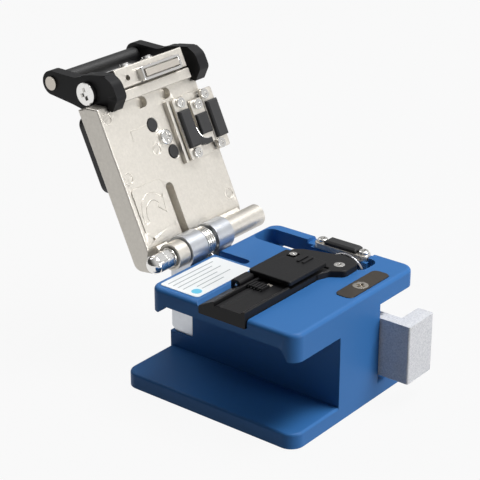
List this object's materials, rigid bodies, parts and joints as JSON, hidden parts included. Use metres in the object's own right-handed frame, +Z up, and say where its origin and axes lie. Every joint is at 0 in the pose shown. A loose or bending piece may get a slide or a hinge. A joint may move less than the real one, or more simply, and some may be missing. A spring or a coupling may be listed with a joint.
{
  "type": "optical fibre cleaver",
  "caption": "Bench optical fibre cleaver with hinged sprung lid, sliding blade carriage, fibre holder with cover, clamps and release lever.",
  "frame": {"origin": "on the underside of the foot pad, at the middle of the base plate", "axes": "+X along the lid hinge and the fibre, to the operator's right; +Y from the operator to the hinge; +Z up, off the bench"},
  "size_m": [0.0615, 0.1215, 0.0924],
  "materials": {
    "blue_paint": "semi-gloss blue paint on a casting",
    "nickel_casting": "satin nickel plated casting",
    "satin_aluminium": "sand-blasted",
    "bright_steel": "turned and polished",
    "chrome_screw": "bright plated",
    "dark_screw": "oiled steel",
    "brown_steel": "oiled steel plate",
    "black_plastic": "fine grain",
    "black_metal": "semi-gloss black",
    "black_rubber": "matt",
    "clamp_rubber": "matt, square edged",
    "magnet": "nickel plated magnet",
    "blade_carbide": "ground carbide",
    "label_film": "printed film with plain ruled lines"
  },
  "bodies": {
    "body": {"housing": "blue_paint", "foot_pad": "black_rubber", "deck_label": "label_film", "striker_plate": "brown_steel", "striker_screw": "dark_screw", "hinge_bracket": "bright_steel", "bracket_bolts": "dark_screw", "hinge_shaft": "bright_steel", "hinge_washer": "bright_steel", "lock_nut": "chrome_screw", "acorn_nut": "chrome_screw", "torsion_spring": "bright_steel", "guide_rail": "bright_steel", "rail_screws": "dark_screw", "lower_clamp_bracket": "nickel_casting", "lower_clamp_pad": "clamp_rubber", "lower_clamp_screws": "chrome_screw", "holder_base": "black_metal", "comb_insert": "black_metal", "holder_magnet": "magnet", "holder_hinge_block": "black_metal", "holder_pin": "bright_steel", "holder_head": "black_metal", "head_screw": "chrome_screw"},
    "lid": {"lid_casting": "nickel_casting", "grip_pad": "black_plastic", "stop_pads": "black_rubber", "lid_screw": "chrome_screw", "magnet_bracket": "nickel_casting", "magnet_bracket_screws": "chrome_screw", "magnet_frame": "chrome_screw", "holding_magnet": "magnet", "lever_pivot_screws": "chrome_screw", "left_clamp_block": "nickel_casting", "right_clamp_block": "nickel_casting", "clamp_shoulder_screws": "chrome_screw", "left_clamp_springs": "bright_steel", "right_clamp_springs": "bright_steel", "anvil_spring": "bright_steel"},
    "cover": {"holder_cover": "black_metal", "cover_screw": "chrome_screw", "cover_ribs": "black_metal", "cover_pad": "black_rubber"},
    "slide": {"push_plate": "satin_aluminium", "arm_screws": "dark_screw", "carriage": "bright_steel", "blade_fork": "satin_aluminium", "blade_axle": "bright_steel"},
    "blade": {"blade_wheel": "blade_carbide", "blade_hub": "bright_steel"},
    "left_clamp": {"left_clamp_carrier": "nickel_casting", "left_clamp_pad": "clamp_rubber"},
    "right_clamp": {"right_clamp_carrier": "nickel_casting", "right_clamp_pad": "clamp_rubber"},
    "sprung_anvil": {"anvil_carrier": "nickel_casting", "anvil": "black_plastic"},
    "lever": {"lever_plate_left": "black_metal", "lever_plate_right": "black_metal", "lever_grip_bar": "black_plastic", "grip_bar_screws": "dark_screw"}
  },
  "joints": [
    {"name": "lid_hinge", "type": "hinge", "parent": "body", "child": "lid", "pos_m": [0, 0.027, 0.0392], "axis": [1, 0, 0], "range_deg": [0, 115], "stiffness_Nm_per_rad": 0.03, "springref_deg": -20.05, "deforming": ["torsion_spring"]},
    {"name": "holder_cover_hinge", "type": "hinge", "parent": "body", "child": "cover", "pos_m": [0, -0.0002, 0.0385], "axis": [1, 0, 0], "range_deg": [-100, 0]},
    {"name": "blade_carriage_slide", "type": "slide", "parent": "body", "child": "slide", "axis": [0, 1, 0], "range_m": [0, 0.024]},
    {"name": "blade_wheel_turn", "type": "hinge", "parent": "slide", "child": "blade", "pos_m": [0.0209, -0.0134, 0.032], "axis": [1, 0, 0], "continuous": true},
    {"name": "release_lever_pivot", "type": "hinge", "parent": "lid", "child": "lever", "pos_m": [0, 0.05922, 0.08464], "axis": [1, 0, 0], "range_deg": [-25, 0]},
    {"name": "left_clamp_press", "type": "slide", "parent": "lid", "child": "left_clamp", "axis": [0, 0.9063, -0.4226], "range_m": [0, 0.0005], "stiffness_N_per_m": 300, "springref_m": -0.001, "deforming": ["left_clamp_springs"]},
    {"name": "right_clamp_press", "type": "slide", "parent": "lid", "child": "right_clamp", "axis": [0, 0.9063, -0.4226], "range_m": [0, 0.0005], "stiffness_N_per_m": 300, "springref_m": -0.001, "deforming": ["right_clamp_springs"]},
    {"name": "anvil_press", "type": "slide", "parent": "lid", "child": "sprung_anvil", "axis": [0, 0.9063, -0.4226], "range_m": [0, 0.0005], "stiffness_N_per_m": 300, "springref_m": -0.001, "deforming": ["anvil_spring"]}
  ]
}
